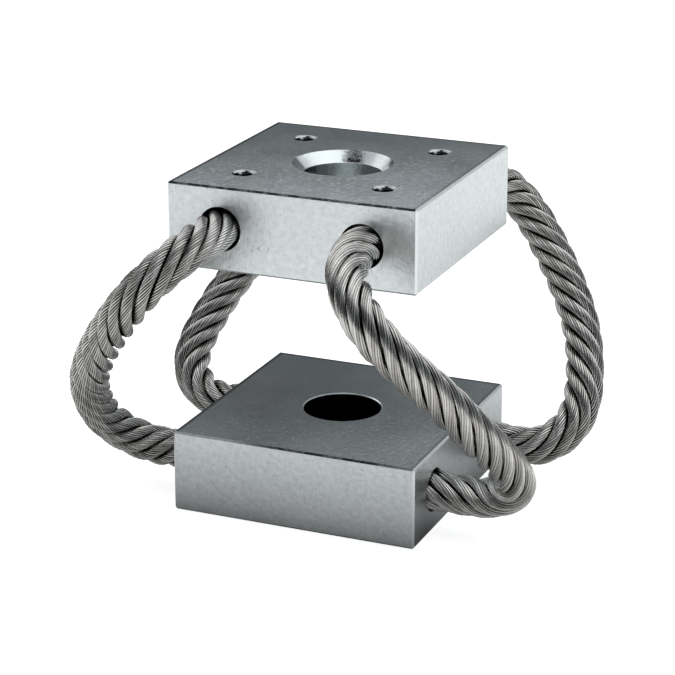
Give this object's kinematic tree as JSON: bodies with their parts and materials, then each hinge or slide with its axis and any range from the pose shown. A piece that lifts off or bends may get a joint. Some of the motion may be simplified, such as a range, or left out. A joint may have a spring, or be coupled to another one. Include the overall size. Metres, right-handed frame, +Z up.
{
  "type": "wire rope isolator",
  "caption": "Compact vibration isolator: two square aluminium blocks with countersunk centre holes, joined by looped stranded steel ropes at the corners.",
  "frame": {"origin": "centre of the bottom block's underside, on the surface it stands on", "axes": "+Z up through both fixing holes; -Y is the front, where the top block's ropes come out; +X is to the right"},
  "size_m": [0.075, 0.0744, 0.053],
  "materials": {
    "block_aluminium": "milled and finely brushed, satin",
    "rope_steel": "drawn wire, semi-bright"
  },
  "bodies": {
    "root": {"top_block": "block_aluminium", "bottom_block": "block_aluminium", "front_left_rope_core": "rope_steel", "front_right_rope_core": "rope_steel", "back_left_rope_core": "rope_steel", "back_right_rope_core": "rope_steel", "front_left_rope_strand_1": "rope_steel", "front_left_rope_strand_2": "rope_steel", "front_left_rope_strand_3": "rope_steel", "front_left_rope_strand_4": "rope_steel", "front_left_rope_strand_5": "rope_steel", "front_left_rope_strand_6": "rope_steel", "front_right_rope_strand_1": "rope_steel", "front_right_rope_strand_2": "rope_steel", "front_right_rope_strand_3": "rope_steel", "front_right_rope_strand_4": "rope_steel", "front_right_rope_strand_5": "rope_steel", "front_right_rope_strand_6": "rope_steel", "back_left_rope_strand_1": "rope_steel", "back_left_rope_strand_2": "rope_steel", "back_left_rope_strand_3": "rope_steel", "back_left_rope_strand_4": "rope_steel", "back_left_rope_strand_5": "rope_steel", "back_left_rope_strand_6": "rope_steel", "back_right_rope_strand_1": "rope_steel", "back_right_rope_strand_2": "rope_steel", "back_right_rope_strand_3": "rope_steel", "back_right_rope_strand_4": "rope_steel", "back_right_rope_strand_5": "rope_steel", "back_right_rope_strand_6": "rope_steel"}
  },
  "joints": []
}
